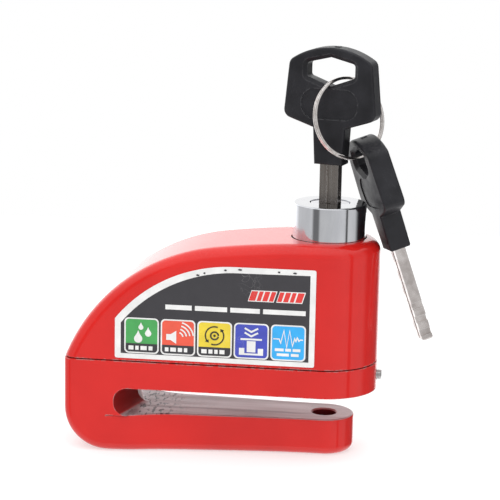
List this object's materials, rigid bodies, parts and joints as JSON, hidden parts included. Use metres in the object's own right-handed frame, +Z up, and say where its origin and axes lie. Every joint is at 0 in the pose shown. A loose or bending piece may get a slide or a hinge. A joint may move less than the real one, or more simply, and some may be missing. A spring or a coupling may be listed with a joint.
{
  "type": "disc brake lock",
  "caption": "Push-down motorcycle disc brake lock: red body with a slotted jaw, sprung chrome cylinder with locking pin, shock alarm inside, key in the plug and a spare on a split ring.",
  "frame": {"origin": "on the flat base of the lower arm, straight under the locking pin's axis", "axes": "+Z up along the locking pin and cylinder; +X from the body towards the arm's open end; the label is on the -Y side"},
  "size_m": [0.1097, 0.0328, 0.1229],
  "materials": {
    "red_paint": "gloss red lacquer, lightly scuffed on the arm",
    "hard_chrome": "polished chrome plate",
    "pin_steel": "ground hardened steel",
    "ring_steel": "polished spring steel",
    "key_steel": "nickel-plated key steel",
    "key_plastic": "fine-grained moulded plastic",
    "plug_nickel": "nickel-plated brass",
    "lock_brass": "turned brass",
    "spring_steel": "drawn spring wire",
    "screw_steel": "zinc-plated steel",
    "black_rubber": "soft black rubber",
    "label_film": "printed film with a white rim and five coloured tiles",
    "dark_plastic": "plain moulded plastic",
    "cell_steel": "bright nickel-plated steel",
    "board": "solder-masked glass-epoxy board",
    "can_aluminium": "drawn aluminium can",
    "chip_resin": "moulded black resin"
  },
  "bodies": {
    "lock_body": {"lower_body": "red_paint", "upper_shell": "red_paint", "shell_gasket": "black_rubber", "cover_screw": "screw_steel", "front_label": "label_film", "wiper_ring": "black_rubber", "guide_screw": "screw_steel", "return_spring": "spring_steel", "alarm_tray": "dark_plastic", "battery_holder": "dark_plastic", "button_cells": "cell_steel", "battery_contacts": "spring_steel", "circuit_board": "board", "board_screws": "screw_steel", "siren": "dark_plastic", "shock_sensor": "can_aluminium", "control_chip": "chip_resin", "capacitor": "can_aluminium", "arming_switch": "dark_plastic"},
    "push_cylinder": {"lock_cylinder": "hard_chrome", "locking_pin": "pin_steel", "switch_tab": "screw_steel", "tab_screw": "screw_steel"},
    "latch": {"latch_bolt": "pin_steel", "latch_spring": "spring_steel"},
    "plug": {"key_plug": "plug_nickel", "tumbler_discs": "lock_brass", "cam": "screw_steel"},
    "key": {"key_blade": "key_steel", "key_head": "key_plastic"},
    "ring": {"split_ring": "ring_steel"},
    "spare_key": {"spare_key_blade": "key_steel", "spare_key_head": "key_plastic"},
    "plunger": {"switch_plunger": "dark_plastic"}
  },
  "joints": [
    {"name": "cylinder_push", "type": "slide", "parent": "lock_body", "child": "push_cylinder", "axis": [0, 0, -1], "range_m": [0, 0.0105], "stiffness_N_per_m": 1000, "springref_m": -0.012, "deforming": ["return_spring"]},
    {"name": "key_turn", "type": "hinge", "parent": "push_cylinder", "child": "plug", "pos_m": [0, 0, 0.0761], "axis": [0, 0, 1], "range_deg": [0, 60]},
    {"name": "latch_retract", "type": "slide", "parent": "push_cylinder", "child": "latch", "axis": [-1, 0, 0], "range_m": [0, 0.0013]},
    {"name": "key_pull", "type": "slide", "parent": "plug", "child": "key", "axis": [0, 0, 1], "range_m": [0, 0.02]},
    {"name": "ring_swing", "type": "hinge", "parent": "key", "child": "ring", "pos_m": [0.00146, -0.00036, 0.1132], "axis": [-0.2419, -0.9703, 0], "range_deg": [0, 8]},
    {"name": "spare_swing", "type": "hinge", "parent": "ring", "child": "spare_key", "pos_m": [0.01093, 0.00019, 0.09177], "axis": [-0.6094, -0.6541, -0.4481], "range_deg": [0, 12]},
    {"name": "switch_press", "type": "slide", "parent": "lock_body", "child": "plunger", "axis": [0, 0, -1], "range_m": [0, 0.0006], "stiffness_N_per_m": 500}
  ],
  "couplings": [
    {"joint": "latch_retract", "follows": "key_turn", "m_per_rad": 0.0012},
    {"joint": "ring_swing", "follows": "cylinder_push", "rad_per_m": 12}
  ]
}
